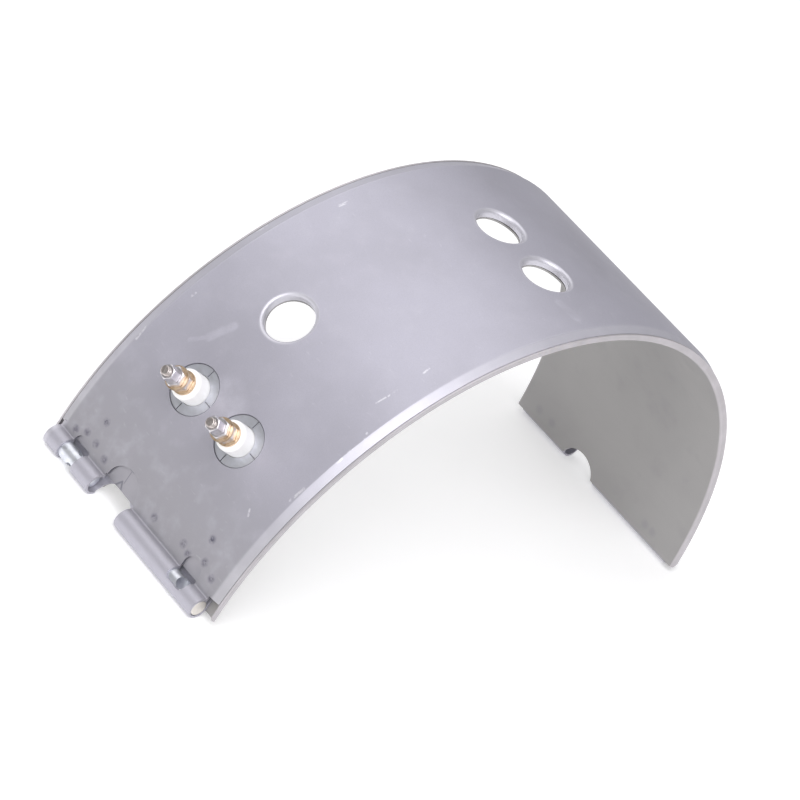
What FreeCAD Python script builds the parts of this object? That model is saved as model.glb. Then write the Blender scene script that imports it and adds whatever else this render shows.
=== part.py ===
import FreeCAD, Part
import math
import os
import re

from FreeCAD import Placement, Rotation, Vector

# One half of a two-piece band heater for a 280 mm barrel: a folded steel casing over a mica winding.
# Frame: the barrel's axis is Y, the crown of the band is up (+Z), and the origin is on the barrel's
# axis at mid width. Places on the band are given as arc lengths along the bore, counted from the
# left end (-X), and as distances across the width (+Y is the far edge).

os.makedirs("parts", exist_ok=True)
doc = FreeCAD.newDocument("HalfBandHeater")
sizes = doc.addObject("Spreadsheet::Sheet", "Sizes")

DRIVING = {
    # Casing
    "bore_radius": 140.0,
    "band_width": 110.0,
    "arc_length": 424.0,
    "sheath_wall": 0.8,
    "strap_wall": 0.9,
    "layer_gap": 0.08,
    "hem_width": 4.7,
    "hem_drop": 1.2,
    "hem_setback": 7.5,
    "seam_gap": 0.2,
    "sheath_bend": 1.3,
    "rim_corner": 2.0,
    # Winding pack
    "mica_sheet": 0.4,
    "card_sheet": 0.5,
    "pressure_wall": 0.5,
    "pack_inset": 5.0,
    "card_inset": 9.0,
    "pack_end_gap": 1.0,
    "ribbon_width": 4.0,
    "ribbon_sheet": 0.2,
    "turn_pitch": 12.0,
    "first_turn": 73.0,
    "last_turn_inset": 37.0,
    "lead_width": 6.0,
    "lead_sheet": 0.4,
    "lane_width": 2.9,
    # Flanged holes through the band
    "hole_radius": 10.0,
    "hole_mouth": 1.5,
    "hole_line": 12.0,
    "sensor_hole_place": 99.0,
    "pair_holes_place": 200.5,
    "pair_pitch": 30.0,
    "pack_hole_gap": 0.5,
    # Half-round notch at each parting line
    "notch_radius": 10.5,
    "notch_beyond_end": 3.5,
    "strap_slot_radius": 8.9,
    "strap_slot_place": 7.8,
    "knuckle_break": 19.2,
    # Clamp pins and the knuckles that hold them
    "pin_radius": 3.75,
    "pin_length": 22.0,
    "pin_clearance": 0.08,
    "pin_chamfer": 0.5,
    "cross_hole_radius": 2.75,
    "bolt_hole_radius": 3.25,
    "knuckle_setback": 1.5,
    "knuckle_near_inset": 6.0,
    "knuckle_far_inset": 3.0,
    "near_window_inset": 19.5,
    "far_window_inset": 17.0,
    "window_width": 10.0,
    "near_window_reach": 13.5,
    "far_window_reach": 10.5,
    "window_corner": 4.3,
    "near_window_lip": 80.0,
    "lip_corner": 2.0,
    "tail_length": 23.0,
    "root_bend": 0.6,
    "near_pin_slide": 2.5,
    "far_pin_slide": 3.0,
    "near_pin_turn": 30.0,
    "far_pin_turn": 150.0,
    # Stiffening strips
    "stiffener_reach": 25.0,
    "stiffener_inset": 6.5,
    "stiffener_gap": 0.4,
    # Terminals
    "terminal_place": 55.0,
    "terminal_pitch": 30.0,
    "opening_radius": 10.75,
    "collar_edge_gap": 0.35,
    "collar_sheet": 0.5,
    "collar_slits": 4,
    "collar_slit": 0.45,
    "collar_slit_depth": 2.9,
    "bush_radius": 6.4,
    "bush_height": 8.2,
    "bush_round": 1.9,
    "bush_gap": 0.2,
    "stud_radius": 2.0,
    "stud_head_radius": 4.5,
    "stud_head": 1.0,
    "stud_gap": 0.15,
    "stud_end": 2.2,
    "stud_round": 1.3,
    "washer_radius": 4.9,
    "washer_sheet": 1.0,
    "nut_across_flats": 7.4,
    "clamp_nut_height": 3.4,
    "spring_washer_radius": 4.2,
    "spring_washer_height": 1.1,
    "spring_washer_slit": 0.8,
    "spring_washer_lead": 20.0,
    "thin_nut_height": 2.2,
    "top_nut_across_flats": 5.6,
    "top_nut_height": 5.3,
    "nut_chamfer": 0.35,
    "nut_chamfer_slope": 1.7,
    "nut_turn": 17.0,
    "thread_gap": 0.05,
    # Length of the tools that cut right through the wall, and how far a tool stands past a face
    "cut_length": 40.0,
    "overshoot": 1.0,
}

for row, (word, number) in enumerate(DRIVING.items(), start=1):
    sizes.set(f"A{row}", word)
    sizes.set(f"B{row}", str(number))
    sizes.setAlias(f"B{row}", word)
doc.recompute()

# Radii of the layers, from the bore outwards, and other sizes worked out from the driving ones.
DERIVED = {
    "last_turn": "(arc_length - last_turn_inset)",
    "pack_half_width": "(band_width / 2 - pack_inset)",
    "card_half_width": "(band_width / 2 - card_inset)",
    "stiffener_half_width": "(band_width / 2 - stiffener_inset)",
    "knuckle_near": "(band_width / 2 - knuckle_near_inset)",
    "knuckle_far": "(band_width / 2 - knuckle_far_inset)",
    "near_window": "(near_window_inset - band_width / 2)",
    "far_window": "(band_width / 2 - far_window_inset)",
    "sheath_out": "(bore_radius + sheath_wall)",
    "inner_mica_in": "(sheath_out + layer_gap)",
    "inner_mica_out": "(inner_mica_in + mica_sheet)",
    "under_run_in": "(inner_mica_out + layer_gap)",
    "under_run_out": "(under_run_in + ribbon_sheet)",
    "card_in": "(under_run_out + layer_gap)",
    "card_out": "(card_in + card_sheet)",
    "over_run_in": "(card_out + layer_gap)",
    "over_run_out": "(over_run_in + ribbon_sheet)",
    "outer_mica_in": "(over_run_out + layer_gap)",
    "outer_mica_out": "(outer_mica_in + mica_sheet)",
    "pressure_in": "(outer_mica_out + layer_gap)",
    "pressure_out": "(pressure_in + pressure_wall)",
    "strap_in": "(pressure_out + layer_gap)",
    "strap_out": "(strap_in + strap_wall)",
    "tail_in": "(sheath_out + layer_gap)",
    "tail_out": "(tail_in + strap_wall)",
    "rim_out": "(strap_out - hem_drop)",
    "knuckle_bore": "(pin_radius + pin_clearance)",
    "knuckle_out": "(knuckle_bore + strap_wall)",
    "knuckle_off": "(tail_in - bore_radius + knuckle_out)",
    "stiffener_start": "(knuckle_setback + knuckle_out + stiffener_gap)",
    "pack_start": "(stiffener_reach + pack_end_gap)",
    "collar_hole": "(bush_radius + bush_gap)",
    "pack_hole": "(hole_radius + strap_wall + pack_hole_gap)",
    "lead_out": "(under_run_in + lead_sheet)",
    "bush_in": "(lead_out + stud_head + 2 * layer_gap)",
    "washer_hole": "(stud_radius + thread_gap)",
    "card_start": "(first_turn - ribbon_width / 2)",
}


def formula(words):
    """Spell a formula out in driving sizes, in the form that an expression takes."""
    known = set(re.findall(r"[a-z_]+", words)) & set(DERIVED)
    while known:
        words = re.sub(r"[a-z_]+", lambda m: DERIVED.get(m.group(), m.group()), words)
        known = set(re.findall(r"[a-z_]+", words)) & set(DERIVED)
    return re.sub(r"[a-z_]+", lambda m: "Sizes." + m.group() if m.group() in DRIVING else m.group(), words)


def size(words):
    """Value of a formula, in millimetres."""
    return float(sizes.evalExpression(formula(words)))


def bind(item, **formulas):
    """Tie properties of an object to the sheet."""
    for prop, words in formulas.items():
        item.setExpression(prop, formula(words))
    return item


def angle_at(place):
    """Angle from the crown, in degrees, of an arc place."""
    return math.degrees((place - size("arc_length") / 2) / size("bore_radius"))


def from_end(place, end):
    """Arc place of something that lies a given way in from the left (-1) or right (1) end."""
    return place if end < 0 else size("arc_length") - place


def radial(place, across, off=0.0, turn=0.0):
    """Placement at an arc place with local Z pointing away from the barrel."""
    tilt = Rotation(Vector(0, 1, 0), angle_at(place))
    base = tilt.multVec(Vector(0, 0, size("bore_radius") + off)) + Vector(0, across, 0)
    return Placement(base, tilt.multiply(Rotation(Vector(0, 0, 1), turn)))


def cylinder(name, radius, height, placement=None):
    item = bind(doc.addObject("Part::Cylinder", name), Radius=radius, Height=height)
    if placement is not None:
        item.Placement = placement
    return item


def block(name, length, width, height, placement):
    """Box centred on its placement along X and Y, rising along Z."""
    item = bind(doc.addObject("Part::Box", name), Length=length, Width=width, Height=height)
    corner = Vector(-size(length) / 2, -size(width) / 2, 0)
    item.Placement = placement.multiply(Placement(corner, Rotation()))
    return item


def cut(name, base, tools):
    """Base less one tool or several."""
    if len(tools) > 1:
        tool = doc.addObject("Part::MultiFuse", name + "_tools")
        tool.Shapes = tools
    else:
        tool = tools[0]
    item = doc.addObject("Part::Cut", name)
    item.Base = base
    item.Tool = tool
    return item


def sector(name, r_in, r_out, start, stop, low, high):
    """Plate rolled to the barrel: an arc of a tube between two arc places and two distances across."""
    lay = Rotation(Vector(1, 0, 0), -90).multiply(Rotation(Vector(0, 0, 1), angle_at(size(start)) - 90))
    at = Placement(Vector(0, size(low), 0), lay)
    width = f"({high}) - ({low})"
    span = f"(({stop}) - ({start})) / bore_radius * 180 / pi"
    outer = bind(cylinder(name + "_outer", r_out, width, at), Angle=span)
    inner = cylinder(name + "_inner", r_in, width, at)
    return cut(name, outer, [inner])


def through_tool(name, place, across, radius):
    """Round tool that cuts right through the band."""
    return cylinder(name, radius, "cut_length", radial(place, across, -size("cut_length") / 2))


def notch_tool(name, end):
    return through_tool(name, from_end(-size("notch_beyond_end"), end), size("hole_line"), "notch_radius")


def hole_tools(name, radius):
    """Tools for the three holes that go through the band."""
    pair_across = (size("hole_line"), size("hole_line - pair_pitch"))
    tools = [through_tool(name + "_sensor", size("sensor_hole_place"), size("hole_line"), radius)]
    for number, across in enumerate(pair_across, start=1):
        tools.append(through_tool(f"{name}_pair_{number}", size("pair_holes_place"), across, radius))
    return tools


def terminal_tools(name, radius):
    """Tools for the two openings that the terminals stand in."""
    return [through_tool(f"{name}_{number}", size("terminal_place"), across, radius)
            for number, across in enumerate(terminal_lines(), start=1)]


def terminal_lines():
    return size("terminal_pitch / 2"), size("-terminal_pitch / 2")


def arc_edges(item, test):
    """Numbers of the edges whose middle point passes a test of its radius and its place across."""
    found = []
    for number, edge in enumerate(item.Shape.Edges, start=1):
        middle = edge.valueAt((edge.FirstParameter + edge.LastParameter) / 2)
        if test(math.hypot(middle.x, middle.z), middle.y, edge):
            found.append(number)
    return found


def inner_sheath():
    """Inner sheet, rolled to the barrel, its long edges turned up into a rim round the strap."""
    half = "band_width / 2"
    slab = sector("sheath_slab", "bore_radius", "rim_out", "0", "arc_length", f"-{half}", half)
    inside = f"{half} - sheath_wall"
    hollow = sector("sheath_hollow", "sheath_out", "rim_out + overshoot", "-overshoot",
                    "arc_length + overshoot", f"-({inside})", inside)
    channel = cut("sheath_channel", slab, [hollow])
    doc.recompute()
    bend = doc.addObject("Part::Fillet", "sheath_bends")
    bend.Base = channel
    bore = size("bore_radius")
    edge_line = size(half)
    chosen = arc_edges(channel, lambda r, y, e: abs(r - bore) < 0.01 and abs(abs(y) - edge_line) < 0.01
                       and e.Length > size("arc_length") / 2)
    bend.Edges = [(number, size("sheath_bend"), size("sheath_bend")) for number in chosen]
    doc.recompute()
    clipped = doc.addObject("Part::Fillet", "sheath_corners")
    clipped.Base = bend
    rim = size("rim_out")
    chosen = arc_edges(bend, lambda r, y, e: abs(r - rim) < 0.01 and e.Length < size("2 * sheath_wall"))
    clipped.Edges = [(number, size("rim_corner"), size("rim_corner")) for number in chosen]
    tools = hole_tools("sheath_hole", "hole_radius")
    tools += [notch_tool(f"sheath_notch_{end + 1}", end) for end in (-1, 1)]
    return cut("inner_sheath", clipped, tools)


def pack_sheet(name, r_in, r_out, terminal_hole=None):
    """Flat sheet of the winding pack, between the two stiffening strips."""
    base = sector(name + "_sheet", r_in, r_out, "pack_start", "arc_length - pack_start",
                  "-pack_half_width", "pack_half_width")
    tools = hole_tools(name + "_hole", "pack_hole")
    if terminal_hole:
        tools += terminal_tools(name + "_terminal", terminal_hole)
    return cut(name, base, tools)


def winding_card():
    """Mica card that the heating ribbon is wound on."""
    base = sector("card_sheet_blank", "card_in", "card_out", "card_start",
                  "last_turn + ribbon_width / 2", "-card_half_width", "card_half_width")
    return cut("winding_card", base, hole_tools("card_hole", "pack_hole"))


def turn_places():
    """Arc places of the ribbon's turns: none of them crosses a hole."""
    keep_off = size("pack_hole + ribbon_width / 2")
    holes = (size("sensor_hole_place"), size("pair_holes_place"))
    count = int(size("(last_turn - first_turn) / turn_pitch"))
    places = [size("first_turn") + number * size("turn_pitch") for number in range(count + 1)]
    places = [place for place in places if all(abs(place - hole) > keep_off for hole in holes)]
    return places[:-1] + [size("last_turn")]


def bent_bar(r_in, r_out, start, stop, low, high):
    """Bar of rectangular section that follows the band, for the ribbon and the strap."""
    corners = [Vector(0, low, r_in), Vector(0, high, r_in), Vector(0, high, r_out), Vector(0, low, r_out)]
    face = Part.Face(Part.makePolygon(corners + corners[:1]))
    face.rotate(Vector(), Vector(0, 1, 0), angle_at(start))
    return face.revolve(Vector(), Vector(0, 1, 0), angle_at(stop) - angle_at(start))


def heating_ribbon():
    """Flat resistance ribbon: each turn goes over the card, down its far edge, back under it, and
    steps along the near edge to the next turn."""
    half_ribbon = size("ribbon_width / 2")
    edge = size("card_half_width + layer_gap")
    outer_edge = edge + size("ribbon_sheet")
    under_in, under_out = size("under_run_in"), size("under_run_out")
    over_in, over_out = size("over_run_in"), size("over_run_out")
    places = turn_places()
    bars = []
    for place, following in zip(places, places[1:] + [None]):
        low, high = place - half_ribbon, place + half_ribbon
        bars.append(bent_bar(over_in, over_out, low, high, -outer_edge, outer_edge))
        bars.append(bent_bar(under_in, over_out, low, high, edge, outer_edge))
        bars.append(bent_bar(under_in, under_out, low, high, -edge, outer_edge))
        if following is not None:
            step_end = following + half_ribbon
            bars.append(bent_bar(under_in, under_out, low, step_end, -outer_edge, -edge + size("ribbon_width")))
            bars.append(bent_bar(under_in, over_out, step_end - 2 * half_ribbon, step_end, -outer_edge, -edge))
    ribbon = doc.addObject("Part::Feature", "heating_ribbon")
    ribbon.Shape = bars[0].multiFuse(bars[1:]).removeSplitter()
    return ribbon


def near_lead():
    """Straight lead strip from the first terminal to the ribbon's first turn."""
    across = "terminal_pitch / 2"
    return sector("lead_strip_1", "under_run_in", "lead_out", "terminal_place - lead_width / 2",
                  "card_start - layer_gap", f"{across} - lead_width / 2", f"{across} + lead_width / 2")


def return_lead():
    """Lead strip from the second terminal, along the near edge of the pack, to the ribbon's last turn."""
    lane_low = "-(pack_half_width - pack_hole_gap)"
    lane_high = f"{lane_low} + lane_width"
    left = "terminal_place - lead_width / 2"
    head = sector("return_lead_head", "under_run_in", "lead_out", left, "terminal_place + lead_width / 2",
                  lane_low, "-terminal_pitch / 2 + lead_width / 2")
    lane = sector("return_lead_lane", "under_run_in", "lead_out", left, "last_turn + ribbon_width / 2",
                  lane_low, lane_high)
    tab = sector("return_lead_tab", "under_run_in", "lead_out", "last_turn - ribbon_width / 2",
                 "last_turn + ribbon_width / 2", lane_low, "-(card_half_width + ribbon_sheet + 2 * layer_gap)")
    lead = doc.addObject("Part::MultiFuse", "lead_strip_2")
    lead.Shapes = [head, lane, tab]
    lead.Refine = True
    return lead


def end_frame(end):
    """Origin on the bore at an end, the way into the band and the way away from the barrel."""
    tilt = Rotation(Vector(0, 1, 0), angle_at(from_end(0, end)))
    outward = tilt.multVec(Vector(0, 0, 1))
    inward = tilt.multVec(Vector(-end, 0, 0))
    return outward * size("bore_radius"), inward, outward


def end_box(end, start, stop, low, high, bottom, top):
    """Box in an end's own frame: way into the band, across, and away from the barrel."""
    origin, inward, outward = end_frame(end)
    corners = [origin + inward * a + outward * b for a, b in
               ((start, bottom), (stop, bottom), (stop, top), (start, top))]
    face = Part.Face(Part.makePolygon(corners + corners[:1]))
    face.translate(Vector(0, low, 0))
    return face.extrude(Vector(0, high - low, 0))


def knuckle_axis(end):
    origin, inward, outward = end_frame(end)
    return origin + inward * size("knuckle_setback") + outward * size("knuckle_off")


def strap_end(end):
    """Curled end of the strap: over the pin, round its far side and back under itself as a flange."""
    near, far = -size("knuckle_near"), size("knuckle_far")
    width = far - near
    centre = knuckle_axis(end) + Vector(0, near, 0)
    along = Vector(0, 1, 0)
    ring = Part.makeCylinder(size("knuckle_out"), width, centre, along)
    ring = ring.cut(Part.makeCylinder(size("knuckle_bore"), width, centre, along))
    axis_place = size("knuckle_setback")
    mouth = end_box(end, axis_place, axis_place + size("knuckle_out"), near, far,
                    size("tail_out - bore_radius"), size("strap_in - bore_radius"))
    ring = ring.cut(mouth)
    middle = size("knuckle_off + bore_radius - (strap_in + strap_out) / 2")
    join = axis_place + math.sqrt(size("knuckle_out") ** 2 - middle ** 2) - size("strap_wall / 2")
    ends = [from_end(join, end), from_end(size("hem_setback + overshoot"), end)]
    top = bent_bar(size("strap_in"), size("strap_out"), min(ends), max(ends), near, far)
    ends = [from_end(axis_place, end), from_end(size("tail_length"), end)]
    tail = bent_bar(size("tail_in"), size("tail_out"), min(ends), max(ends), near, far)
    return [ring, top, tail]


def window(end, across, start, reach, bottom):
    """Slot through a knuckle and the strap behind it, with round corners."""
    half = size("window_width / 2")
    slot = end_box(end, start, reach, across - half, across + half, bottom, size("band_width / 2"))
    origin, inward, outward = end_frame(end)
    for place, corner in ((reach, "window_corner"), (start, "lip_corner")):
        upright = [edge for edge in slot.Edges
                   if abs(edge.tangentAt(edge.FirstParameter).dot(outward)) > 0.99
                   and abs((edge.CenterOfMass - origin).dot(inward) - place) < 0.01]
        slot = slot.makeFillet(size(corner), upright)
    return slot


def strap_cuts(end):
    """Windows, bolt hole, notch and slot at one end of the strap."""
    origin, inward, outward = end_frame(end)
    past = size("knuckle_out + overshoot")
    axis = knuckle_axis(end)
    axis_place = size("knuckle_setback")
    lip = axis_place + size("knuckle_out") * math.cos(math.radians(size("near_window_lip")))
    floor = size("(tail_out + strap_in) / 2 - bore_radius")
    line, slot_radius = size("hole_line"), size("strap_slot_radius")
    slot_place = size("strap_slot_place")
    spare = size("overshoot")
    slot = Part.makeCylinder(slot_radius, size("band_width"), origin + inward * slot_place + Vector(0, line, 0)
                             + outward * floor, outward)
    low, high = line - size("knuckle_break / 2"), line + size("knuckle_break / 2")
    return [
        window(end, size("far_window"), -past, size("far_window_reach"), floor),
        window(end, size("near_window"), lip, size("near_window_reach"), floor),
        Part.makeCylinder(size("bolt_hole_radius"), past, axis + Vector(0, size("near_window"), 0), inward * -1),
        slot,
        end_box(end, -past, slot_place, low, high, floor, size("band_width / 2")),
        end_box(end, -past, axis_place, low, high, -spare, floor + spare),
        notch_shape(end),
    ]


def notch_shape(end):
    """Half-round notch through the folded-under flange of the strap."""
    origin, inward, outward = end_frame(end)
    spare = size("overshoot")
    at = origin - inward * size("notch_beyond_end") + Vector(0, size("hole_line"), 0) - outward * spare
    height = size("(tail_out + strap_in) / 2 - bore_radius") + 2 * spare
    return Part.makeCylinder(size("notch_radius"), height, at, outward)


def outer_strap():
    """Outer sheet in one piece: joggled long edges, curled ends, flanged holes and terminal openings."""
    strap_in, strap_out = size("strap_in"), size("strap_out")
    drop = size("hem_drop")
    flat = size("band_width / 2 - hem_width")
    edge = size("band_width / 2 - sheath_wall - seam_gap")
    top = [Vector(0, -edge, strap_out - drop), Vector(0, -flat, strap_out),
           Vector(0, flat, strap_out), Vector(0, edge, strap_out - drop)]
    under = [point - Vector(0, 0, strap_out - strap_in) for point in reversed(top)]
    section = Part.Face(Part.makePolygon(top + under + top[:1]))
    start, stop = size("hem_setback"), size("arc_length - hem_setback")
    section.rotate(Vector(), Vector(0, 1, 0), angle_at(start))
    shape = section.revolve(Vector(), Vector(0, 1, 0), angle_at(stop) - angle_at(start))

    collars, bores = [], []
    across_pair = size("hole_line - pair_pitch")
    for place, across in ((size("sensor_hole_place"), size("hole_line")),
                          (size("pair_holes_place"), size("hole_line")),
                          (size("pair_holes_place"), across_pair)):
        at = radial(place, across)
        way = at.Rotation.multVec(Vector(0, 0, 1))
        foot = at.Base + way * size("tail_in - bore_radius")
        collar_height = size("strap_in + strap_wall / 2 - tail_in")
        collars.append(Part.makeCylinder(size("hole_radius + strap_wall"), collar_height, foot, way))
        bores.append(Part.makeCylinder(size("hole_radius"), size("band_width"), at.Base, way))

    openings = []
    for across in terminal_lines():
        at = radial(size("terminal_place"), across)
        way = at.Rotation.multVec(Vector(0, 0, 1))
        openings.append(Part.makeCylinder(size("opening_radius"), size("band_width"), at.Base, way))

    shape = shape.multiFuse(strap_end(-1) + strap_end(1) + collars).removeSplitter()
    shape = shape.cut(bores)
    mouths = [e for e in shape.Edges if mouth_edge(e)]
    shape = shape.makeFillet(size("hole_mouth"), mouths)
    roots = [e for e in shape.Edges if root_edge(e)]
    shape = shape.makeFillet(size("root_bend"), roots)
    shape = shape.cut(openings + strap_cuts(-1) + strap_cuts(1)).removeSplitter()
    strap = doc.addObject("Part::Feature", "outer_strap")
    strap.Shape = shape.Solids[0] if len(shape.Solids) == 1 else shape
    return strap


def mouth_edge(edge):
    """True for the outer edge of one of the three holes."""
    points = edge.discretize(5)
    on_skin = all(abs(math.hypot(p.x, p.z) - size("strap_out")) < 0.01 for p in points)
    turn = max(p.y for p in points) - min(p.y for p in points)
    return on_skin and size("hole_radius") < turn < size("3 * hole_radius")


def root_edge(edge):
    """True for the hollow corner between the strap's outer face and a knuckle."""
    middle = edge.valueAt((edge.FirstParameter + edge.LastParameter) / 2)
    on_skin = abs(math.hypot(middle.x, middle.z) - size("strap_out")) < 0.01
    along = abs(edge.tangentAt(edge.FirstParameter).y) > 0.99 and edge.Length > size("band_width / 2")
    ends = [abs((middle - knuckle_axis(end)).dot(end_frame(end)[1])) for end in (-1, 1)]
    return on_skin and along and min(ends) < size("knuckle_out")


def stiffener(name, end):
    """Steel strip that fills the folded end between the strap and its flange."""
    places = ["stiffener_start", "stiffener_reach"]
    if end > 0:
        places = ["arc_length - stiffener_reach", "arc_length - stiffener_start"]
    base = sector(name + "_blank", "tail_out + layer_gap", "pressure_out", places[0], places[1],
                  "-stiffener_half_width", "stiffener_half_width")
    return cut(name, base, [notch_tool(name + "_notch", end)])


def barrel_pin(name, end, place, turn):
    """Round clamp pin with a cross hole for the clamp bolt, loose in its knuckles."""
    rod = cylinder(name + "_rod", "pin_radius", "pin_length")
    doc.recompute()
    broken = doc.addObject("Part::Chamfer", name + "_ends")
    broken.Base = rod
    rims = [number for number, edge in enumerate(rod.Shape.Edges, start=1) if edge.isClosed()]
    broken.Edges = [(number, size("pin_chamfer"), size("pin_chamfer")) for number in rims]
    hole_at = Placement(Vector(-size("pin_length") / 2, 0, size("pin_length / 2")), Rotation(Vector(0, 1, 0), 90))
    hole = cylinder(name + "_cross", "cross_hole_radius", "pin_length", hole_at)
    pin = cut(name, broken, [hole])
    inward = end_frame(end)[1]
    lift = math.degrees(math.atan2(inward.z, inward.x))
    swing = lift + turn if end < 0 else lift - turn
    lay = Rotation(Vector(0, 1, 0), -swing).multiply(Rotation(Vector(1, 0, 0), -90))
    base = knuckle_axis(end) + Vector(0, place - size("pin_length") / 2, 0)
    pin.Placement = Placement(base, lay)
    return pin


def slotted_collar(name, across):
    """Thin round collar in a terminal opening, with four slits in its edge."""
    place = size("terminal_place")
    reach = "terminal_place + opening_radius"
    plate = sector(name + "_plate", "pressure_out + layer_gap", "pressure_out + layer_gap + collar_sheet",
                   "terminal_place - opening_radius", reach,
                   f"{across} - opening_radius", f"{across} + opening_radius")
    disc = through_tool(name + "_disc", place, size(across), "opening_radius - collar_edge_gap")
    round_plate = doc.addObject("Part::Common", name + "_round")
    round_plate.Base = plate
    round_plate.Tool = disc
    tools = [through_tool(name + "_hole", place, size(across), "collar_hole")]
    middle = size("opening_radius - collar_edge_gap - collar_slit_depth / 2")
    slits = int(size("collar_slits"))
    for number in range(slits):
        at = radial(place, size(across), -size("cut_length") / 2, 360 / slits * number)
        at = at.multiply(Placement(Vector(middle, 0, 0), Rotation()))
        tools.append(block(f"{name}_slit_{number}", "collar_slit_depth + overshoot", "collar_slit", "cut_length", at))
    return cut(name, round_plate, tools)


# Where a drill for a hole through a turned piece starts: just under the piece.
BELOW = Placement(Vector(0, 0, -size("overshoot")), Rotation())


def turned(name, radius, height, rims, hole, at):
    """Round piece with softened top rim and a hole through it."""
    blank = cylinder(name + "_blank", radius, height)
    if rims:
        doc.recompute()
        soft = doc.addObject("Part::Fillet", name + "_soft")
        soft.Base = blank
        top = [n for n, e in enumerate(blank.Shape.Edges, start=1) if e.isClosed() and e.CenterOfMass.z > 0.1]
        soft.Edges = [(number, size(rims), size(rims)) for number in top]
        blank = soft
    bore = cylinder(name + "_bore", hole, f"{height} + 2 * overshoot", BELOW)
    piece = cut(name, blank, [bore])
    piece.Placement = at
    return piece


def hexagon(name, flats, height, at):
    """Hexagon nut with its corners chamfered at both faces."""
    prism = bind(doc.addObject("Part::Prism", name + "_prism"), Circumradius=f"({flats}) / sqrt(3)", Height=height)
    prism.Polygon = 6
    round_bar = cylinder(name + "_round", f"({flats}) / sqrt(3)", height)
    doc.recompute()
    cone = doc.addObject("Part::Chamfer", name + "_cone")
    cone.Base = round_bar
    rims = [number for number, edge in enumerate(round_bar.Shape.Edges, start=1) if edge.isClosed()]
    cone.Edges = [(number, size("nut_chamfer"), size("nut_chamfer * nut_chamfer_slope")) for number in rims]
    blank = doc.addObject("Part::Common", name + "_blank")
    blank.Base = prism
    blank.Tool = cone
    bore = cylinder(name + "_thread", "washer_hole", f"{height} + 2 * overshoot", BELOW)
    nut = cut(name, blank, [bore])
    nut.Placement = at
    return nut


def spring_washer(name, at):
    """Split spring washer."""
    ring = cylinder(name + "_ring", "spring_washer_radius", "spring_washer_height")
    bore = cylinder(name + "_bore", "washer_hole", "spring_washer_height + 2 * overshoot", BELOW)
    lean = Rotation(Vector(1, 0, 0), size("spring_washer_lead"))
    gap_at = Placement(Vector(size("spring_washer_radius / 2 + overshoot"), 0, -size("overshoot")), lean)
    gap = block(name + "_gap", "spring_washer_radius", "spring_washer_slit", "cut_length", gap_at)
    washer = cut(name, ring, [bore, gap])
    washer.Placement = at
    return washer


def stud(name, height, at):
    """Terminal stud: round head clamped in the pack, threaded shank and rounded end."""
    head = cylinder(name + "_head", "stud_head_radius", "stud_head")
    shank = cylinder(name + "_shank", "stud_radius", height)
    whole = doc.addObject("Part::Fuse", name + "_whole")
    whole.Base = head
    whole.Tool = shank
    doc.recompute()
    soft = doc.addObject("Part::Fillet", name)
    soft.Base = whole
    top = size(height)
    rims = [n for n, e in enumerate(whole.Shape.Edges, start=1) if e.isClosed() and abs(e.CenterOfMass.z - top) < 0.1]
    soft.Edges = [(number, size("stud_round"), size("stud_round")) for number in rims]
    soft.Placement = at
    return soft


def terminal(number, across_words):
    """One terminal: the stud in its ceramic bush, with washers and nuts stacked on it."""
    place, across = size("terminal_place"), size(across_words)
    skin = size("strap_out - bore_radius")
    pieces = [slotted_collar(f"slotted_collar_{number}", across_words)]
    bush_off = size("bush_in - bore_radius")
    pieces.append(turned(f"ceramic_bush_{number}", "bush_radius", "strap_out + bush_height - bush_in",
                         "bush_round", "stud_radius + stud_gap", radial(place, across, bush_off)))
    level = skin + size("bush_height + layer_gap")
    stack = (
        ("lower_washer", "washer_sheet"),
        ("clamp_nut", "clamp_nut_height"),
        ("spring_washer", "spring_washer_height"),
        ("upper_washer", "washer_sheet"),
        ("thin_nut", "thin_nut_height"),
        ("top_nut", "top_nut_height"),
    )
    for kind, height in stack:
        name = f"{kind}_{number}"
        at = radial(place, across, level, size("nut_turn") * number)
        if kind.endswith("_washer") and kind != "spring_washer":
            pieces.append(turned(name, "washer_radius", height, None, "washer_hole", at))
        elif kind == "spring_washer":
            pieces.append(spring_washer(name, at))
        elif kind == "top_nut":
            pieces.append(hexagon(name, "top_nut_across_flats", height, at))
        else:
            pieces.append(hexagon(name, "nut_across_flats", height, at))
        level += size(height) + size("layer_gap")
    heights = " + ".join(height for kind, height in stack)
    stud_in = "(lead_out + layer_gap)"
    length = f"strap_out + bush_height + {heights} + {len(stack) + 1} * layer_gap + stud_end - {stud_in}"
    pieces.append(stud(f"terminal_stud_{number}", length, radial(place, across, size(f"{stud_in} - bore_radius"))))
    return pieces


nodes = [
    inner_sheath(),
    pack_sheet("inner_mica", "inner_mica_in", "inner_mica_out"),
    winding_card(),
    heating_ribbon(),
    near_lead(),
    return_lead(),
    pack_sheet("outer_mica", "outer_mica_in", "outer_mica_out", "collar_hole"),
    pack_sheet("pressure_sheet", "pressure_in", "pressure_out", "collar_hole"),
    outer_strap(),
    stiffener("left_stiffener", -1),
    stiffener("right_stiffener", 1),
    barrel_pin("left_far_pin", -1, size("far_window - far_pin_slide"), size("far_pin_turn")),
    barrel_pin("left_near_pin", -1, size("near_window - near_pin_slide"), size("near_pin_turn")),
    barrel_pin("right_far_pin", 1, size("far_window"), 0),
    barrel_pin("right_near_pin", 1, size("near_window"), 0),
]
for number, across in ((1, "terminal_pitch / 2"), (2, "(-terminal_pitch / 2)")):
    nodes += terminal(number, across)

for node in nodes:
    node.Label = node.Name
doc.recompute()

for item in doc.Objects:
    if "Invalid" in item.State or "Error" in item.State:
        raise RuntimeError(f"{item.Name} did not compute: {item.State}")
for node in nodes:
    if node.Shape.isNull() or not node.Shape.isValid():
        raise RuntimeError(f"{node.Name} has no valid shape")

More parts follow.
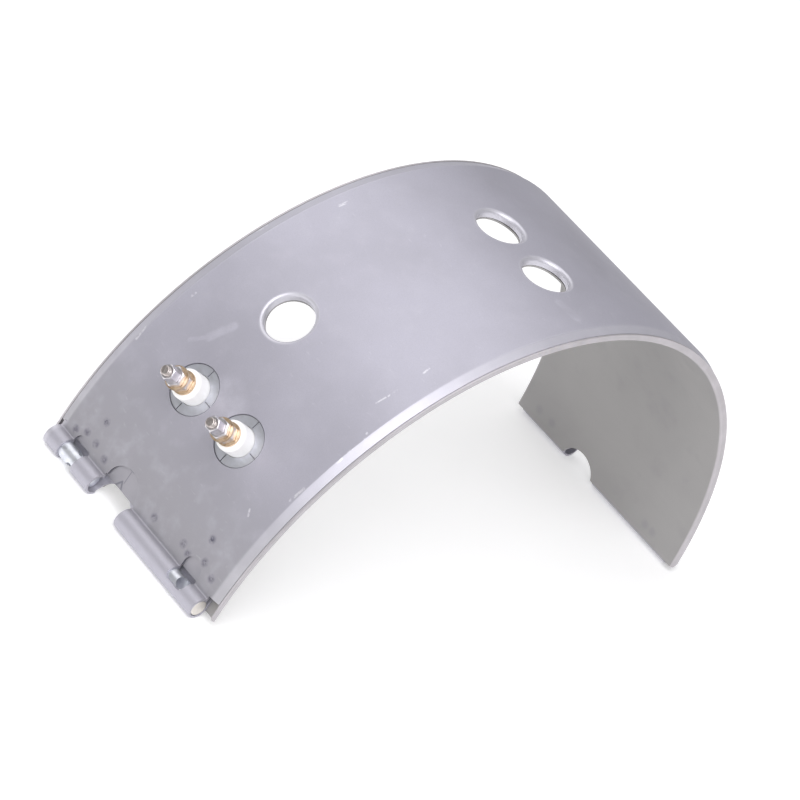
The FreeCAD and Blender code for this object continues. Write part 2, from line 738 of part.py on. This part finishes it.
for node in nodes:
    node.Shape.exportStep(f"parts/{node.Label}.step")
    print(node.Label, len(node.Shape.Solids), round(node.Shape.Volume, 1))
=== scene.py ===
import math

import bpy
from mathutils import Matrix, Vector


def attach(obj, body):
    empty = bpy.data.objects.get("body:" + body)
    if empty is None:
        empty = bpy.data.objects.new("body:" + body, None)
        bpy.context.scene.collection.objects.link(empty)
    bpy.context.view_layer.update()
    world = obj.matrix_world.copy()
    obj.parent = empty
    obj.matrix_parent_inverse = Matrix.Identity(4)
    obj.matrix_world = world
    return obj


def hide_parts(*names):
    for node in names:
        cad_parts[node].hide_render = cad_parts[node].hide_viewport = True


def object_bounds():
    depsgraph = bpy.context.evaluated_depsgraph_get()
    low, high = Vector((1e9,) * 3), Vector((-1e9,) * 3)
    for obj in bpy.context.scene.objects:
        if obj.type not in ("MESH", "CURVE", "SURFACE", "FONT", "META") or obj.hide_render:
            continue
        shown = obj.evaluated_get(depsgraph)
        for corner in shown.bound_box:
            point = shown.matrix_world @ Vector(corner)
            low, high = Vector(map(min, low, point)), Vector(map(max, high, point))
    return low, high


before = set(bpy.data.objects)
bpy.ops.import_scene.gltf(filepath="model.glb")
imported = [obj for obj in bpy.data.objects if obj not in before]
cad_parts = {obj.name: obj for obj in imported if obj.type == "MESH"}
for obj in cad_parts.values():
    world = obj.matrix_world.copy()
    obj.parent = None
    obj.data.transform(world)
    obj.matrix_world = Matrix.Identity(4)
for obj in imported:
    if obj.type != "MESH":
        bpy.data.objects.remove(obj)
cad_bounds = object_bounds()


# OUTER STRAP
# The outer sheet of the casing: 0.9 mm coated steel, sheared, pierced and rolled in one piece. Its long
# edges are joggled down and its ends are curled round the clamp pins. It has a matt, faintly lilac coat.
BORE = 0.140
ARC = 0.424
SKIN = 0.14446
HOLES = ((0.099, 0.012), (0.2005, 0.012), (0.2005, -0.018))
TERMINALS = ((0.055, 0.015), (0.055, -0.015))


class Level:
    """A number that varies over a surface. Sums with it are written like sums of plain numbers."""

    def __init__(self, board, socket):
        self.board = board
        self.socket = socket

    def maths(self, operation, *others):
        """A Math node with this number as its first term."""
        return self.board.maths(operation, self, *others)

    def __add__(self, other):
        return self.maths("ADD", other)

    __radd__ = __add__

    def __sub__(self, other):
        return self.maths("SUBTRACT", other)

    def __rsub__(self, other):
        return self.board.maths("SUBTRACT", other, self)

    def __mul__(self, other):
        return self.maths("MULTIPLY", other)

    __rmul__ = __mul__

    def __truediv__(self, other):
        return self.maths("DIVIDE", other)

    def __abs__(self):
        return self.maths("ABSOLUTE")

    def most(self, other):
        return self.maths("MAXIMUM", other)

    def least(self, other):
        return self.maths("MINIMUM", other)

    def beside(self, other):
        """Length of the diagonal of two lengths at right angles."""
        return (self * self + other * other).maths("SQRT")

    def rise(self, low, high):
        """0 below the first value, 1 above the second, and a smooth rise between them."""
        settings = {"interpolation_type": "SMOOTHSTEP", "clamp": True}
        return self.board.node("ShaderNodeMapRange", settings, {0: self, 1: low, 2: high, 3: 0.0, 4: 1.0})


class Board:
    """A node tree that is filled one node at a time."""

    def node(self, kind, settings, sockets, out=0):
        """Add a node, set it up, give its sockets values or links, and return one of its outputs."""
        made = self.tree.nodes.new(kind)
        for name, value in settings.items():
            setattr(made, name, value)
        for key, value in sockets.items():
            if isinstance(value, Level):
                self.tree.links.new(value.socket, made.inputs[key])
            else:
                made.inputs[key].default_value = value
        return Level(self, made.outputs[out])

    def maths(self, operation, *terms):
        return self.node("ShaderNodeMath", {"operation": operation}, dict(enumerate(terms)))

    def parts(self, vector):
        """The three parts of a vector."""
        first = self.node("ShaderNodeSeparateXYZ", {}, {0: vector})
        return [Level(self, socket) for socket in first.socket.node.outputs]


class Finish(Board):
    """A material of one base shader, with the sums that drive it."""

    def __init__(self, name, **skin):
        self.material = bpy.data.materials.new(name)
        self.material.use_nodes = True
        self.tree = self.material.node_tree
        self.skin = self.tree.nodes["Principled BSDF"]
        self.place = self.node("ShaderNodeTexCoord", {}, {}, "Object")
        self.wear(**skin)

    def wear(self, **skin):
        """Give the base shader's sockets values or links. Underscores stand for spaces."""
        for name, value in skin.items():
            socket = self.skin.inputs[name.replace("_", " ")]
            if isinstance(value, Level):
                self.tree.links.new(value.socket, socket)
            elif isinstance(value, tuple):
                socket.default_value = (*value, 1.0)
            else:
                socket.default_value = value

    def noise(self, scale, detail=2.0, stretch=(1.0, 1.0, 1.0)):
        """Cloudy noise, with so many clouds to the metre, and its mean near a half."""
        spread = self.node("ShaderNodeMapping", {}, {0: self.place, 3: stretch})
        sockets = {"Vector": spread, "Scale": scale, "Detail": detail}
        return self.node("ShaderNodeTexNoise", {}, sockets, "Fac")

    def blend(self, share, under, over):
        """Colour that goes from one to the other as the share goes from 0 to 1."""
        under = (*under, 1.0) if isinstance(under, tuple) else under
        over = (*over, 1.0) if isinstance(over, tuple) else over
        settings = {"data_type": "RGBA", "clamp_factor": True}
        return self.node("ShaderNodeMix", settings, {0: share, 6: under, 7: over}, 2)

    def relief(self, height, depth, strength=1.0):
        """Small relief of the surface, as a normal."""
        return self.node("ShaderNodeBump", {}, {"Strength": strength, "Distance": depth, "Height": height})

    def band_place(self):
        """Arc place from the left end, distance across and radius, all in metres, on the rolled band."""
        x, y, z = self.parts(self.place)
        return x.maths("ARCTAN2", z) * BORE + ARC / 2, y, x.beside(z)

    def clothe(self, *names):
        """Give the named pieces of the frame this finish."""
        for name in names:
            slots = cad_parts[name].data.materials
            slots.clear()
            slots.append(self.material)


def spot(along, across, place, radius, soft):
    """1 within a radius of a place on the band, falling to 0 over the soft distance outside it."""
    reach = (along - place[0]).beside(across - place[1])
    return 1.0 - reach.rise(radius, radius + soft)


def streak(along, across, start, stop, width):
    """1 on a line between two places on the band, falling to 0 over its width."""
    length = math.dist(start, stop)
    way = ((stop[0] - start[0]) / length, (stop[1] - start[1]) / length)
    run = (along - start[0]) * way[0] + (across - start[1]) * way[1]
    off = (along - start[0]) * -way[1] + (across - start[1]) * way[0]
    beyond = abs(run - length / 2) - length / 2
    return 1.0 - off.beside(beyond.most(0.0)).rise(width * 0.3, width)


def strongest(levels):
    """The greatest of several levels, place by place."""
    first, *others = levels
    for level in others:
        first = first.most(level)
    return first


# Places are given along the band and across it. Near the left end are the weld marks, and the right end
# has the same. Scuffs and smears run from one place to another and have a width.
MARKS = (
    (0.0095, 0.0450), (0.0123, 0.0397), (0.0211, 0.0352), (0.0119, 0.0332), (0.0103, 0.0259),
    (0.0109, -0.0084), (0.0132, -0.0260), (0.0118, -0.0303), (0.0232, -0.0351), (0.0149, -0.0386),
    (0.0126, -0.0452),
)
SCUFFS = (
    ((0.0510, 0.0498), (0.0570, 0.0506), 0.0008),
    ((0.0770, 0.0468), (0.0790, 0.0466), 0.0007),
    ((0.1120, 0.0532), (0.1170, 0.0534), 0.0007),
    ((0.1445, 0.0450), (0.1485, 0.0450), 0.0009),
    ((0.0550, -0.0490), (0.0615, -0.0494), 0.0008),
    ((0.0765, -0.0508), (0.0790, -0.0506), 0.0007),
    ((0.0820, -0.0504), (0.0850, -0.0502), 0.0006),
    ((0.0900, -0.0500), (0.0920, -0.0488), 0.0006),
    ((0.1020, -0.0408), (0.1060, -0.0412), 0.0005),
    ((0.1070, -0.0414), (0.1110, -0.0412), 0.0005),
    ((0.1230, -0.0412), (0.1260, -0.0406), 0.0006),
    ((0.0395, -0.0405), (0.0415, -0.0390), 0.0006),
)
SMEARS = (
    ((0.0660, 0.0325), (0.0720, 0.0275), 0.0014),
    ((0.0720, 0.0275), (0.0815, 0.0240), 0.0026),
    ((0.1935, -0.0345), (0.1945, -0.0440), 0.0028),
    ((0.0645, 0.0045), (0.0615, -0.0030), 0.0080),
)
# Where one look of the strap gives way to the next: the first value is where the change starts and the
# second is where it ends, from mid width for the joggle and from the nearer end for the rest.
# Most of these set painted light and shade: shade towards both ends, a highlight on the curled knuckles and
# shade on the walls of the windows; the joggle values set a highlight mixed with wear.
JOGGLE = (0.0494, 0.0512)
GREY_SHADED_END = (0.008, 0.068)
KNUCKLE_HIGHLIGHT = (0.0045, 0.0075)
WALL_SHADE_START = (0.0066, 0.0072)
WALL_SHADE_STOP = (0.019, 0.020)
WALL_SHADE_SIDE = (0.0490, 0.0495)
WALL_SHADE_DEPTH = (0.00006, 0.00025)
# Painted highlight round the hole rims, then the size of the weld burns.
RIM_HIGHLIGHT_RADIUS, RIM_HIGHLIGHT_FADE = 0.0106, 0.0014
BURN, BURN_FADE = 0.0006, 0.0018

strap = Finish("strap sheet", Metallic=0.55)
along, across, radius = strap.band_place()
clouds = strap.noise(24.0, 5.0)
mottle = strap.noise(130.0, 4.0)
grain = strap.noise(2600.0, 2.0)
rolling = strap.noise(420.0, 3.0, (1.0, 0.16, 1.0))
from_end = (ARC - along).least(along)
scuffs = strongest(streak(along, across, *line) for line in SCUFFS)
scuffs = scuffs * strap.noise(650.0, 3.0).rise(0.34, 0.60) * 0.6
smears = strongest(streak(along, across, *line) for line in SMEARS)
smears = smears * strap.noise(140.0, 3.0).rise(0.15, 0.85)
# Lighter along the joggled edges: painted highlight, broken up by noise like wear.
edge_wear_and_highlight = abs(across).rise(*JOGGLE) * (0.6 + 0.8 * strap.noise(110.0, 2.0))
fleck = strap.noise(900.0, 3.0, (1.0, 0.3, 1.0)).rise(0.64, 0.78)
# Lighter round the hole rims: painted highlight.
rim_highlights = strongest(spot(along, across, hole, RIM_HIGHLIGHT_RADIUS, RIM_HIGHLIGHT_FADE) for hole in HOLES)
burns = strongest(spot(from_end, across, mark, BURN, BURN_FADE) for mark in MARKS)
burns = burns * strap.noise(700.0, 3.0).rise(0.2, 0.7)
# Dark on the cut walls and underside along the window stretch: painted shade.
window_wall_shade = (SKIN - radius).rise(*WALL_SHADE_DEPTH) * from_end.rise(*WALL_SHADE_START)
window_wall_shade = window_wall_shade * (1.0 - from_end.rise(*WALL_SHADE_STOP)) * (1.0 - abs(across).rise(*WALL_SHADE_SIDE))
# Real scuffs and flecks, together with the painted highlights of the joggles and the hole rims.
wear_and_highlights = scuffs.most(edge_wear_and_highlight * 0.22).most(rim_highlights * 0.4).most(fleck * 0.10)
tone = strap.blend(clouds.rise(0.3, 0.7), (0.450, 0.440, 0.502), (0.500, 0.490, 0.562))
# Darker towards both ends: painted shade, with a greyer tint of the coat there.
tone = strap.blend(1.0 - from_end.rise(*GREY_SHADED_END), tone, (0.322, 0.315, 0.338))
# Lighter on the curled knuckles: painted highlight.
tone = strap.blend((1.0 - from_end.rise(*KNUCKLE_HIGHLIGHT)) * 0.85, tone, (0.51, 0.50, 0.56))
tone = strap.blend(smears * 0.6, tone, (0.68, 0.67, 0.75))
tone = strap.blend(mottle.rise(0.45, 0.8) * 0.35, tone, (0.535, 0.525, 0.590))
tone = strap.blend(grain.rise(0.35, 0.75) * 0.25, tone, (0.38, 0.37, 0.41))
tone = strap.blend(wear_and_highlights, tone, (0.86, 0.85, 0.89))
tone = strap.blend(burns * 0.85, tone, (0.16, 0.15, 0.19))
# Painted shade on the window walls.
tone = strap.blend(window_wall_shade * 0.8, tone, (0.16, 0.16, 0.19))
strap.wear(
    Base_Color=tone,
    Roughness=0.50 + 0.10 * (clouds - 0.5) + 0.08 * (grain - 0.5) - 0.14 * wear_and_highlights,
    Normal=strap.relief(grain * 0.6 + rolling * 0.4 - burns * 1.5, 0.00002, 0.55),
)
strap.clothe("outer_strap")


# WELD MARKS
# The strap's folded ends are spot welded to the sheath through the stiffeners. Each weld leaves a small
# dark dent in a low raised ring, most of them round the windows.
class Jig(Board):
    """A Geometry Nodes tree with its sizes as named inputs, which makes one plain mesh."""

    def __init__(self, name, **sizes):
        self.tree = bpy.data.node_groups.new(name, "GeometryNodeTree")
        self.tree.interface.new_socket("Geometry", in_out="OUTPUT", socket_type="NodeSocketGeometry")
        self.tree.interface.new_socket("Geometry", in_out="INPUT", socket_type="NodeSocketGeometry")
        self.sizes = {}
        for word, value in sizes.items():
            kind = "NodeSocketInt" if isinstance(value, int) else "NodeSocketFloat"
            socket = self.tree.interface.new_socket(word, in_out="INPUT", socket_type=kind)
            self.sizes[socket.identifier] = value
        self.entry = self.tree.nodes.new("NodeGroupInput")
        self.exit = self.tree.nodes.new("NodeGroupOutput")

    def given(self, word):
        return Level(self, self.entry.outputs[word])

    def make(self, name, shape, finish, points=(), ways=()):
        """End the tree, run it on the points, and return the plain mesh as a new object."""
        whole = self.node("GeometryNodeRealizeInstances", {}, {"Geometry": shape})
        dressed = self.node("GeometryNodeSetMaterial", {}, {"Geometry": whole, "Material": finish.material})
        self.tree.links.new(dressed.socket, self.exit.inputs[0])
        seed = bpy.data.meshes.new(name + "_points")
        seed.from_pydata(points, [], [])
        if ways:
            outward = seed.attributes.new("outward", "FLOAT_VECTOR", "POINT")
            outward.data.foreach_set("vector", [part for way in ways for part in way])
        blank = bpy.data.objects.new(name + "_blank", seed)
        bpy.context.collection.objects.link(blank)
        run = blank.modifiers.new("jig", "NODES")
        run.node_group = self.tree
        for identifier, value in self.sizes.items():
            run[identifier] = value
        mesh = bpy.data.meshes.new_from_object(blank.evaluated_get(bpy.context.evaluated_depsgraph_get()))
        bpy.data.objects.remove(blank)
        mesh.name = name
        piece = bpy.data.objects.new(name, mesh)
        bpy.context.collection.objects.link(piece)
        return piece


def on_band(along, across, radius):
    """Place in space of a place on the band, and the way away from the barrel there."""
    angle = (along - ARC / 2) / BORE
    way = Vector((math.sin(angle), 0.0, math.cos(angle)))
    return way * radius + Vector((0.0, across, 0.0)), way


burnt = Finish("weld mark", Metallic=0.7)
heat = burnt.noise(1600.0, 3.0)
burnt.wear(
    Base_Color=burnt.blend(heat.rise(0.35, 0.65), (0.08, 0.08, 0.11), (0.30, 0.29, 0.34)),
    Roughness=0.48 + 0.2 * (heat - 0.5),
    Normal=burnt.relief(heat, 0.00003, 0.6),
)
press = Jig("weld mark", ring_radius=0.00060, ring_height=0.00009, dent_depth=0.00002, seed=4)
ring_radius, ring_height = press.given("ring_radius"), press.given("ring_height")
ring = press.node("GeometryNodeCurvePrimitiveCircle", {}, {"Resolution": 18, "Radius": ring_radius})
section = press.node("GeometryNodeCurvePrimitiveCircle", {}, {"Resolution": 7, "Radius": ring_height})
upset = press.node("GeometryNodeCurveToMesh", {}, {"Curve": ring, "Profile Curve": section})
dent = press.node("GeometryNodeMeshCircle", {"fill_type": "NGON"}, {"Vertices": 18, "Radius": ring_radius})
level = press.node("ShaderNodeCombineXYZ", {}, {"Z": press.given("dent_depth")})
dent = press.node("GeometryNodeTransform", {}, {"Geometry": dent, "Translation": level})
both = press.node("GeometryNodeJoinGeometry", {}, {"Geometry": upset})
press.tree.links.new(dent.socket, both.socket.node.inputs[0])
outward = press.node("GeometryNodeInputNamedAttribute", {"data_type": "FLOAT_VECTOR"}, {"Name": "outward"})
lay = press.node("FunctionNodeAlignRotationToVector", {"axis": "Z"}, {"Vector": outward})
limits = {2: 0.75, 3: 1.2, "Seed": press.given("seed")}
spread = press.node("FunctionNodeRandomValue", {"data_type": "FLOAT"}, limits, 1)
welds = press.node("GeometryNodeInstanceOnPoints", {}, {
    "Points": Level(press, press.entry.outputs["Geometry"]),
    "Instance": both,
    "Rotation": lay,
    "Scale": spread,
})
MARK_SINK = 0.00005
places = [on_band(place, across, SKIN - MARK_SINK) for place, across in MARKS]
places += [on_band(ARC - place, across, SKIN - MARK_SINK) for place, across in MARKS]
feet, ways = zip(*places)
weld_marks = press.make("weld_marks", welds, burnt, feet, ways)
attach(weld_marks, "band")


# INNER SHEATH
# The inner sheet that lies on the barrel: 0.8 mm plain steel, rolled, its long edges turned up round the
# outer sheet. It keeps the mill's satin; its turned edges are painted lighter as a highlight, broken up
# like rubbing, and its dints are painted darker as shade.
TURNED_EDGE_HIGHLIGHT = (0.0537, 0.0545)
DINTS = ((0.006, 0.043), (0.0055, -0.033), (0.0055, -0.038), (0.006, 0.034))
DINT, DINT_FADE = 0.0006, 0.0026

sheath = Finish("sheath sheet", Metallic=0.6)
along, across, _ = sheath.band_place()
clouds = sheath.noise(16.0, 4.0)
grain = sheath.noise(2200.0, 2.0)
rolled = sheath.noise(520.0, 3.0, (1.0, 0.12, 1.0))
# Lighter along the turned edges: painted highlight, partly broken up like rubbing.
turned_edge_highlight = abs(across).rise(*TURNED_EDGE_HIGHLIGHT)
rubbing_and_highlight = turned_edge_highlight * sheath.noise(120.0, 2.0)
prints = sheath.noise(70.0, 5.0).rise(0.55, 0.8)
from_end = (ARC - along).least(along)
shaded_dints = strongest(spot(from_end, across, place, DINT, DINT_FADE) for place in DINTS)
tone = sheath.blend(clouds.rise(0.3, 0.7), (0.360, 0.352, 0.350), (0.405, 0.396, 0.392))
tone = sheath.blend(rolled.rise(0.4, 0.8) * 0.08, tone, (0.33, 0.32, 0.325))
tone = sheath.blend(prints * 0.25, tone, (0.31, 0.30, 0.31))
tone = sheath.blend(rubbing_and_highlight * 0.4 + turned_edge_highlight * 0.2, tone, (0.74, 0.69, 0.75))
# Darker in the dints: painted shade of the dents.
tone = sheath.blend(shaded_dints * 0.22, tone, (0.22, 0.22, 0.26))
sheath.wear(
    Base_Color=tone,
    Roughness=0.52 + 0.08 * (clouds - 0.5) - 0.08 * rubbing_and_highlight + 0.04 * prints,
    Normal=sheath.relief(grain * 0.4 + rolled * 0.2 - shaded_dints, 0.00002, 0.4),
)
sheath.clothe("inner_sheath")


# STIFFENERS AND PRESSURE SHEET
# Plain steel sheet inside the casing: a strip in each folded end, seen in the windows and the notch, with
# a setting-out mark scratched on it there, and the sheet that presses the winding flat.
SCRATCHES = (
    ((0.0062, 0.0160), (0.0098, 0.0137), 0.0006),
    ((0.0098, 0.0137), (0.0068, 0.0121), 0.0006),
    ((0.0098, 0.0126), (0.0152, 0.0127), 0.0002),
)

plate = Finish("inner plate", Metallic=0.75)
along, across, _ = plate.band_place()
clouds = plate.noise(60.0, 3.0)
grain = plate.noise(1800.0, 2.0)
scratch = strongest(streak(along, across, *line) for line in SCRATCHES)
# Plain steel, painted darker than its own tone as shade of the windows and the notch it is seen through.
tone = plate.blend(clouds.rise(0.3, 0.7), (0.30, 0.295, 0.32), (0.365, 0.355, 0.385))
tone = plate.blend(scratch * 0.7, tone, (0.14, 0.14, 0.17))
plate.wear(
    Base_Color=tone,
    Roughness=0.42 + 0.14 * (clouds - 0.5),
    Normal=plate.relief(grain - scratch * 3.0, 0.00002, 0.5),
)
plate.clothe("left_stiffener", "right_stiffener", "pressure_sheet")


# SLOTTED COLLARS
# A thin bright disc sits round the foot of each ceramic bush, in the strap's opening. Its edge is slit in
# four places so that it can spring in.
collar = Finish("collar sheet", Metallic=0.8)
clouds = collar.noise(260.0, 3.0)
rubs = collar.noise(700.0, 3.0, (1.0, 0.4, 1.0))
tone = collar.blend(clouds.rise(0.3, 0.7), (0.56, 0.57, 0.61), (0.62, 0.63, 0.69))
collar.wear(
    Base_Color=collar.blend(rubs.rise(0.5, 0.75) * 0.2, tone, (0.76, 0.78, 0.85)),
    Roughness=0.38 + 0.1 * (rubs - 0.5),
    Normal=collar.relief(rubs, 0.00002, 0.5),
)
collar.clothe("slotted_collar_1", "slotted_collar_2")


# MICA SHEETS AND WINDING CARD
# Pressed mica, built up of bonded flakes and cut to the casing: two sheets insulate the winding on its two
# faces, and the card between them carries it.
mica = Finish("mica sheet", Metallic=0.0)
flakes = mica.node("ShaderNodeTexVoronoi", {"feature": "F1"}, {"Vector": mica.place, "Scale": 420.0}, "Color")
sheen = mica.noise(90.0, 4.0)
tone = mica.blend(sheen.rise(0.3, 0.7), (0.52, 0.44, 0.30), (0.66, 0.58, 0.43))
tone = mica.blend(mica.node("ShaderNodeRGBToBW", {}, {0: flakes}) * 0.3, tone, (0.74, 0.68, 0.55))
mica.wear(Base_Color=tone, Roughness=0.38 + 0.2 * (sheen - 0.5), Normal=mica.relief(sheen, 0.00005, 0.4))
mica.clothe("inner_mica", "winding_card", "outer_mica")


# HEATING RIBBON AND LEADS
# Nickel-chromium ribbon, wound on the card and oxidised grey by its first heat, and the two nickel strips
# that take the current to it from the studs.
for name, pieces, cool, warm in (
    ("heating ribbon", ("heating_ribbon",), (0.30, 0.28, 0.27), (0.42, 0.39, 0.36)),
    ("nickel strip", ("lead_strip_1", "lead_strip_2"), (0.55, 0.53, 0.49), (0.64, 0.61, 0.56)),
):
    metal = Finish(name, Metallic=1.0)
    bloom = metal.noise(180.0, 3.0)
    metal.wear(
        Base_Color=metal.blend(bloom.rise(0.3, 0.7), cool, warm),
        Roughness=0.34 + 0.2 * (bloom - 0.5),
    )
    metal.clothe(*pieces)


# CLAMP PINS
# Turned steel rods, zinc plated, with a cross hole for the clamp bolt. They lie loose in the curled ends,
# and the sawn end that shows is scratched and faintly yellowed.
SAWN_END = (-0.04895, -0.04860)

pin_metal = Finish("zinc plated pin", Metallic=0.9)
_, across, _ = pin_metal.parts(pin_metal.place)
turning = pin_metal.noise(3000.0, 2.0, (1.0, 0.02, 1.0))
dulling = pin_metal.noise(320.0, 3.0)
sawn = 1.0 - across.rise(*SAWN_END)
saw_marks = pin_metal.noise(2400.0, 2.0, (1.0, 1.0, 0.1))
tone = pin_metal.blend(dulling.rise(0.35, 0.7), (0.68, 0.70, 0.75), (0.82, 0.84, 0.88))
tone = pin_metal.blend(sawn * (0.45 + 0.5 * saw_marks), tone, (0.80, 0.74, 0.66))
pin_metal.wear(
    Base_Color=tone,
    Roughness=0.33 + 0.12 * dulling + 0.15 * sawn,
    Normal=pin_metal.relief(turning + sawn * saw_marks * 2.0, 0.00002, 0.4),
)
pin_metal.clothe("left_far_pin", "left_near_pin", "right_far_pin", "right_near_pin")


# CERAMIC BUSHES
# White electrical porcelain, pressed and fired, with a rounded shoulder and a thin matt glaze.
ceramic = Finish("white porcelain", Metallic=0.0, Coat_Roughness=0.18)
pores = ceramic.noise(1400.0, 3.0)
stain = ceramic.noise(120.0, 3.0)
ceramic.wear(
    Base_Color=ceramic.blend(stain.rise(0.5, 0.85) * 0.5, (0.96, 0.955, 0.945), (0.90, 0.875, 0.82)),
    Roughness=0.42 + 0.15 * (pores - 0.5),
    Coat_Weight=0.25,
    Normal=ceramic.relief(pores, 0.00003, 0.35),
)
ceramic.clothe("ceramic_bush_1", "ceramic_bush_2")


# BRASS WASHERS AND NUTS
# Two punched brass washers on each terminal, tarnished in their corners, and the nickelled brass nut that is
# clamped between them.
for name, kinds, bright_tone, dull_tone in (
    ("washer brass", ("lower_washer", "upper_washer"), (0.82, 0.64, 0.45), (0.46, 0.30, 0.16)),
    ("nickelled brass", ("clamp_nut",), (0.74, 0.71, 0.70), (0.50, 0.44, 0.40)),
):
    brass = Finish(name, Metallic=1.0)
    tarnish = brass.noise(420.0, 3.0)
    brass.wear(
        Base_Color=brass.blend(tarnish.rise(0.4, 0.75) * 0.7, bright_tone, dull_tone),
        Roughness=0.28 + 0.2 * tarnish,
        Normal=brass.relief(tarnish, 0.00002, 0.3),
    )
    brass.clothe(*(f"{kind}_{number}" for number in (1, 2) for kind in kinds))


# ZINC PLATED NUTS AND WASHERS
# The split spring washers and the two nuts that lock each terminal: bright zinc with dulled flats.
zinc = Finish("zinc plate", Metallic=1.0)
dulling = zinc.noise(500.0, 3.0)
zinc.wear(
    Base_Color=zinc.blend(dulling.rise(0.35, 0.7), (0.60, 0.58, 0.60), (0.74, 0.72, 0.74)),
    Roughness=0.30 + 0.10 * dulling,
    Normal=zinc.relief(dulling, 0.00001, 0.2),
)
zinc.clothe(*(f"{kind}_{number}" for number in (1, 2) for kind in ("spring_washer", "thin_nut", "top_nut")))


# TERMINAL STUDS
# M4 screws with a flat head clamped in the winding pack, the thread rolled to 0.7 mm pitch and the end
# rounded. They stand up through the ceramic and carry the nuts.
STUD_FOOT = 0.00184
STUD_LENGTH = 0.02758
HEAD_RADIUS = 0.0045
HEAD_HEIGHT = 0.0010
# The thread starts to be cut in at the first height over the head, and runs out so far below the end.
CUT_IN = 0.0012
CUT_IN_RUN = 0.0006
RUN_OUT = 0.0008
RUN_OUT_RUN = 0.0004

stud_metal = Finish("stud steel", Metallic=1.0, Roughness=0.36)
stain = stud_metal.noise(900.0, 2.0)
stud_metal.wear(Base_Color=stud_metal.blend(stain.rise(0.35, 0.7), (0.46, 0.41, 0.39), (0.66, 0.61, 0.59)))
die = Jig(
    "rolled thread",
    length=STUD_LENGTH,
    crest=0.0020,
    tip=0.0014,
    pitch=0.0007,
    depth=0.00034,
    columns=29,
    rows=300,
)
length, crest, tip = die.given("length"), die.given("crest"), die.given("tip")
counts = {"Vertices X": die.given("columns"), "Vertices Y": die.given("rows")}
grid = die.node("GeometryNodeMeshGrid", {}, {"Size X": 1.0, "Size Y": 1.0, **counts})
column, row, _ = die.parts(die.node("GeometryNodeInputPosition", {}, {}))
turn = column + 0.5
travel = (row + 0.5) * (crest + length + tip) - crest
height = travel.most(0.0).least(length)
round_off = crest - tip
past = (height - (length - round_off)).most(0.0)
outline = tip + (round_off * round_off - past * past).most(0.0).maths("SQRT")
outline = outline + travel.least(0.0) - (travel - length).most(0.0)
tooth = abs((height / die.given("pitch") + turn).maths("FRACT") * 2.0 - 1.0)
cut_in = (height - CUT_IN).rise(0.0, CUT_IN_RUN)
cut_in = cut_in * (1.0 - (height - length + RUN_OUT).rise(0.0, RUN_OUT_RUN))
reach = (outline - tooth * die.given("depth") * cut_in).most(0.0)
angle = turn * math.tau
spiral = die.node("ShaderNodeCombineXYZ", {}, {
    "X": reach * angle.maths("COSINE"), "Y": reach * angle.maths("SINE"), "Z": height})
shank = die.node("GeometryNodeSetPosition", {}, {"Geometry": grid, "Position": spiral})
shank = die.node("GeometryNodeMergeByDistance", {}, {"Geometry": shank, "Distance": 0.000004})
head = die.node("GeometryNodeMeshCylinder", {}, {"Vertices": 40, "Radius": HEAD_RADIUS, "Depth": HEAD_HEIGHT})
head = die.node("GeometryNodeTransform", {}, {"Geometry": head, "Translation": (0.0, 0.0, HEAD_HEIGHT / 2)})
screw = die.node("GeometryNodeJoinGeometry", {}, {"Geometry": shank})
die.tree.links.new(head.socket, screw.socket.node.inputs[0])
for number, (along, across) in enumerate(TERMINALS, start=1):
    piece = die.make(f"threaded_stud_{number}", screw, stud_metal, [(0.0, 0.0, 0.0)])
    foot, way = on_band(along, across, BORE + STUD_FOOT)
    lean = Matrix.Rotation((along - ARC / 2) / BORE, 4, "Y")
    piece.data.transform(Matrix.Translation(foot) @ lean)
    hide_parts(f"terminal_stud_{number}")
    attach(piece, "band")


# FLOOR, LIGHT AND CAMERA
# A plain pale studio table under soft light, seen as in the photograph.
bpy.context.scene.view_settings.view_transform = "Standard"
lowest = cad_bounds[0][2]
bpy.ops.mesh.primitive_plane_add(size=12.0, location=(0.0, 0.0, lowest))
floor = bpy.context.object
floor.name = "floor"
table = Finish("pale table", Base_Color=(0.90, 0.90, 0.90), Roughness=0.9)
table.wear(Emission_Color=(1.0, 1.0, 1.0), Emission_Strength=0.30)
floor.data.materials.append(table.material)

world = bpy.data.worlds.new("studio")
bpy.context.scene.world = world
world.use_nodes = True
sky = world.node_tree.nodes["Background"]
sky.inputs["Color"].default_value = (1.0, 1.0, 1.0, 1.0)
sky.inputs["Strength"].default_value = 0.31

for name, place, target, size, power in (
    ("key", (-1.0, -0.7, 1.4), (0.0, 0.0, 0.1), 1.6, 29.0),
    ("wash", (0.1, 1.2, 2.1), (0.3, 0.4, 0.0), 2.5, 22.0),
):
    lamp = bpy.data.lights.new(name, "AREA")
    lamp.size = size
    lamp.energy = power
    lamp.color = (0.985, 0.98, 1.0)
    light = bpy.data.objects.new(name, lamp)
    bpy.context.collection.objects.link(light)
    way = Vector(target) - Vector(place)
    light.matrix_world = Matrix.Translation(place) @ way.to_track_quat("-Z", "Y").to_matrix().to_4x4()

lens = bpy.data.cameras.new("camera")
lens.sensor_width = 36.0
lens.lens = 171.825
lens.clip_end = 50.0
camera = bpy.data.objects.new("camera", lens)
bpy.context.collection.objects.link(camera)
right = Vector((0.664965, -0.585431, 0.463780))
down = Vector((-0.039716, -0.647800, -0.760774))
view = Vector((0.745817, 0.487469, -0.454016))
aim = Matrix((right, -down, -view)).transposed()
camera.matrix_world = Matrix.Translation((-1.162348, -0.742088, 0.756034)) @ aim.to_4x4()
bpy.context.scene.camera = camera
